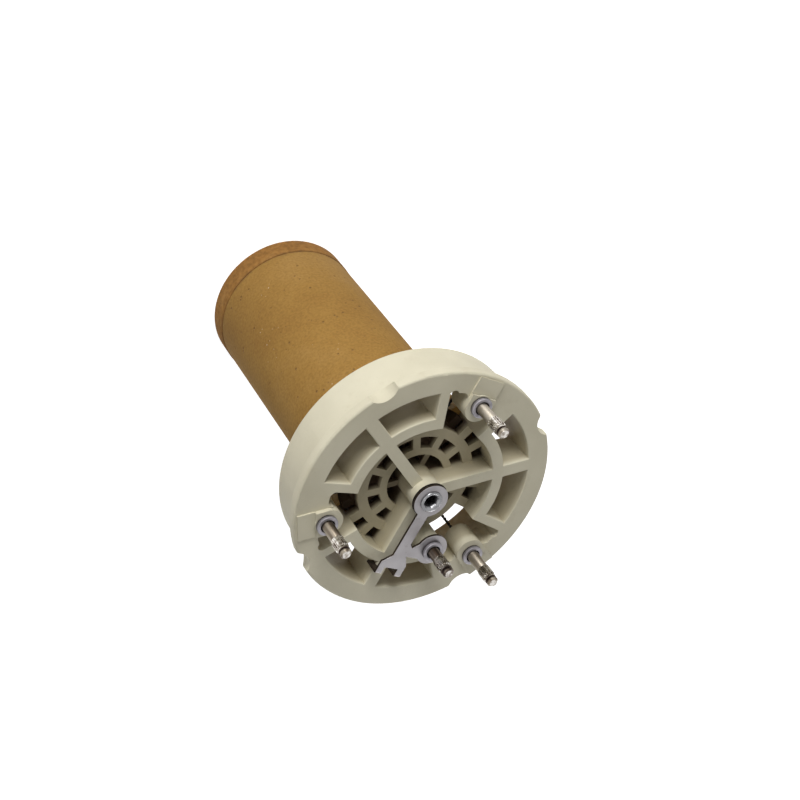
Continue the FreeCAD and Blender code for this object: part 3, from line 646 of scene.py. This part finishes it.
# Heating coils and leads
def wound_run(radius, foot, top, wire=0.3, pitch=1.6):
    """One coiled run of wire on the upright axis, wound upwards by a spin with a rise."""
    around = 12
    turns = (top - foot - 2 * wire) / pitch
    build = bmesh.new()
    ring = bmesh.ops.create_circle(build, segments=5, radius=wire * MM)["verts"]
    bmesh.ops.rotate(build, verts=ring, cent=(0, 0, 0),
                     matrix=Matrix.Rotation(math.pi / 2, 3, "X"))
    bmesh.ops.translate(build, verts=ring, vec=((radius - wire) * MM, 0, (foot + wire) * MM))
    bmesh.ops.spin(build, geom=ring + build.edges[:], cent=(0, 0, 0), axis=(0, 0, 1),
                   dvec=(0, 0, pitch * MM / around), angle=turns * 2 * math.pi,
                   steps=round(turns * around))
    bmesh.ops.holes_fill(build, edges=build.edges, sides=6)
    bmesh.ops.recalc_face_normals(build, faces=build.faces)
    run = bpy.data.meshes.new("wound_run")
    build.to_mesh(run)
    build.free()
    return run


def heating_coils():
    """The three phases' coiled wire, one run in each core channel that has one."""
    runs = {}
    for number in (1, 2, 3):
        node = f"heating_winding_{number}"
        build = bmesh.new()
        for x, y, radius, foot, top in rods(node):
            kind = (round(radius, 2), round(foot, 1), round(top, 1))
            if kind not in runs:
                runs[kind] = wound_run(*kind)
            before = len(build.verts)
            build.from_mesh(runs[kind])
            bmesh.ops.translate(build, verts=build.verts[before:], vec=(x * MM, y * MM, 0))
        piece(f"coiled_wire_{number}", build, COIL, node, 60)
    for run in runs.values():
        bpy.data.meshes.remove(run)


def mean(spots):
    return sum(spots, Vector()) / len(spots)


def lead_course(node, bend, step=0.28):
    """The middle line of a lead: up from its coil, across, and up to its pin's tail."""
    verts = [v.co / MM for v in NODES[node].data.vertices]
    foot_z = min(v.z for v in verts)
    tail_z = max(v.z for v in verts)
    foot = mean([v for v in verts if v.z < foot_z + 0.01])
    tail = mean([v for v in verts if v.z > tail_z - 0.01])
    across = (tail - foot) * Vector((1, 1, 0))
    span = across.length
    across.normalize()
    level = tail_z - 0.2 - bend
    quarter = [math.pi / 2 * i / 8 for i in range(9)]
    plan = [(0, foot_z)]
    plan += [(bend - bend * math.cos(a), level - bend + bend * math.sin(a)) for a in quarter]
    plan += [(span - bend + bend * math.sin(a), level + bend - bend * math.cos(a))
             for a in quarter]
    plan.append((span, tail_z))
    up = Vector((0, 0, 1))
    corners = [foot * Vector((1, 1, 0)) + across * along + up * z for along, z in plan]
    course = [corners[0]]
    for start, end in zip(corners, corners[1:]):
        parts = max(1, math.ceil((end - start).length / step))
        course += [start.lerp(end, i / parts) for i in range(1, parts + 1)]
    return course, across


def twisted_leads(wire=0.31, twist=3.3):
    """Each lead as a pair of black wires twisted together along its course."""
    bends = {"twisted_lead_1": 1.6, "twisted_lead_2": 1.6, "twisted_lead_3": 1.6,
             "star_lead": 1.0}
    for node, bend in bends.items():
        course, across = lead_course(node, bend)
        side = across.cross(Vector((0, 0, 1)))
        curve = bpy.data.curves.new(node + "_pair", "CURVE")
        curve.dimensions = "3D"
        curve.bevel_depth = wire * MM
        curve.bevel_resolution = 1
        curve.use_fill_caps = True
        for half in (0, math.pi):
            spline = curve.splines.new("POLY")
            spline.points.add(len(course) - 1)
            gone = 0.0
            for i, spot in enumerate(course):
                before = course[max(i - 1, 0)]
                after = course[min(i + 1, len(course) - 1)]
                gone += (spot - before).length
                lift = side.cross((after - before).normalized())
                turn = half + 2 * math.pi * gone / twist
                offset = side * math.cos(turn) + lift * math.sin(turn)
                place = spot + offset * (LEAD_RADIUS - wire)
                spline.points[i].co = (*(place * MM), 1.0)
        maker = in_scene(node + "_maker", curve)
        bpy.context.view_layer.update()
        build = bmesh.new()
        build.from_mesh(maker.evaluated_get(bpy.context.evaluated_depsgraph_get()).to_mesh())
        bpy.data.objects.remove(maker)
        bpy.data.curves.remove(curve)
        bmesh.ops.remove_doubles(build, verts=build.verts, dist=1e-7)
        bmesh.ops.recalc_face_normals(build, faces=build.faces)
        piece(node + "_pair", build, LEAD, node, 60)


ceramic_flange()
heater_tube()
outlet_ring()
core_lengths()
for number in (1, 2, 3):
    terminal(f"phase_pin_{number}", f"terminal_pin_{number}", NICKEL)
    hollow_rivet(f"phase_rivet_{number}", f"terminal_rivet_{number}", RIVET)
terminal("star_point_pin", "star_pin", DARKER_NICKEL)
hollow_rivet("star_point_rivet", "star_rivet", STAR_RIVET)
hollow_tie()
# The hub spacer's near-black finish is painted shade.
flat_spacer("hub_spacer", SHADE_BLACK_SPACER, "hub_washer", 0.1)
star_strap()
flat_spacer("far_spacer", TIE, "far_washer", 0.15)
tie_hexagon()
heating_coils()
twisted_leads()


# Camera, floor and lights
def look_from_photograph():
    """The camera at the photograph's viewing angle, turned as the picture is."""
    lens = bpy.data.cameras.new("photo_camera")
    lens.lens = 71.45
    lens.sensor_width = 36
    camera = in_scene("photo_camera", lens)
    right = Vector((0.90580, 0.02213, 0.42315))
    up = Vector((0.22813, 0.81607, -0.53103))
    back = Vector((-0.35706, 0.57754, 0.73414))
    turn = Matrix((right, up, back)).transposed().to_4x4()
    camera.matrix_world = Matrix.Translation((-0.18503, 0.32313, 0.48676)) @ turn
    bpy.context.scene.camera = camera


def lamp(name, place, target, size, power):
    """A round white lamp that points at a target."""
    light = bpy.data.lights.new(name, "AREA")
    light.shape = "DISK"
    light.size = size
    light.energy = power
    item = in_scene(name, light)
    item.location = place
    item.rotation_euler = (Vector(target) - Vector(place)).to_track_quat("-Z", "Y").to_euler()


def seen_directly(nodes, links):
    """1 where the camera, a reflection or glass sees a surface, and 0 for other light."""
    path = nodes.new("ShaderNodeLightPath")
    total = path.outputs["Is Camera Ray"]
    for name in ("Is Glossy Ray", "Is Transmission Ray"):
        add = nodes.new("ShaderNodeMath")
        add.operation = "ADD"
        add.use_clamp = True
        links.new(total, add.inputs[0])
        links.new(path.outputs[name], add.inputs[1])
        total = add.outputs[0]
    return total


def pale_floor():
    """A white floor that keeps the heater's shadow."""
    mesh = bpy.data.meshes.new("floor")
    build = bmesh.new()
    bmesh.ops.create_grid(build, x_segments=1, y_segments=1, size=6)
    build.to_mesh(mesh)
    build.free()
    floor = in_scene("floor", mesh)
    paint = bpy.data.materials.new("pale_floor")
    paint.use_nodes = True
    nodes, links = paint.node_tree.nodes, paint.node_tree.links
    shader = nodes["Principled BSDF"]
    shader.inputs["Base Color"].default_value = (0.82, 0.82, 0.82, 1)
    shader.inputs["Roughness"].default_value = 0.95
    shader.inputs["Emission Color"].default_value = (1, 1, 1, 1)
    lift = nodes.new("ShaderNodeMath")
    lift.operation = "MULTIPLY"
    lift.inputs[1].default_value = 0.8
    links.new(seen_directly(nodes, links), lift.inputs[0])
    links.new(lift.outputs[0], shader.inputs["Emission Strength"])
    mesh.materials.append(paint)


def studio_world():
    """Even white surroundings: plain white to the eye, and dimmer as a light."""
    world = bpy.data.worlds.new("studio")
    world.use_nodes = True
    nodes, links = world.node_tree.nodes, world.node_tree.links
    back = nodes["Background"]
    back.inputs["Color"].default_value = (1, 1, 1, 1)
    scale = nodes.new("ShaderNodeMapRange")
    scale.inputs["To Min"].default_value = 0.27
    scale.inputs["To Max"].default_value = 1.0
    links.new(seen_directly(nodes, links), scale.inputs["Value"])
    links.new(scale.outputs["Result"], back.inputs["Strength"])
    bpy.context.scene.world = world


look_from_photograph()
pale_floor()
studio_world()
lamp("key_light", (-0.1, 0.95, 0.35), (0, 0, 0.09), 0.5, 8)
lamp("fill_light", (-0.7, 0.1, 0.7), (0, 0, 0.1), 0.8, 0.7)
lamp("back_light", (0.35, -0.9, 0.12), (0, 0, 0.07), 0.6, 5)
bpy.context.scene.view_settings.view_transform = "Standard"
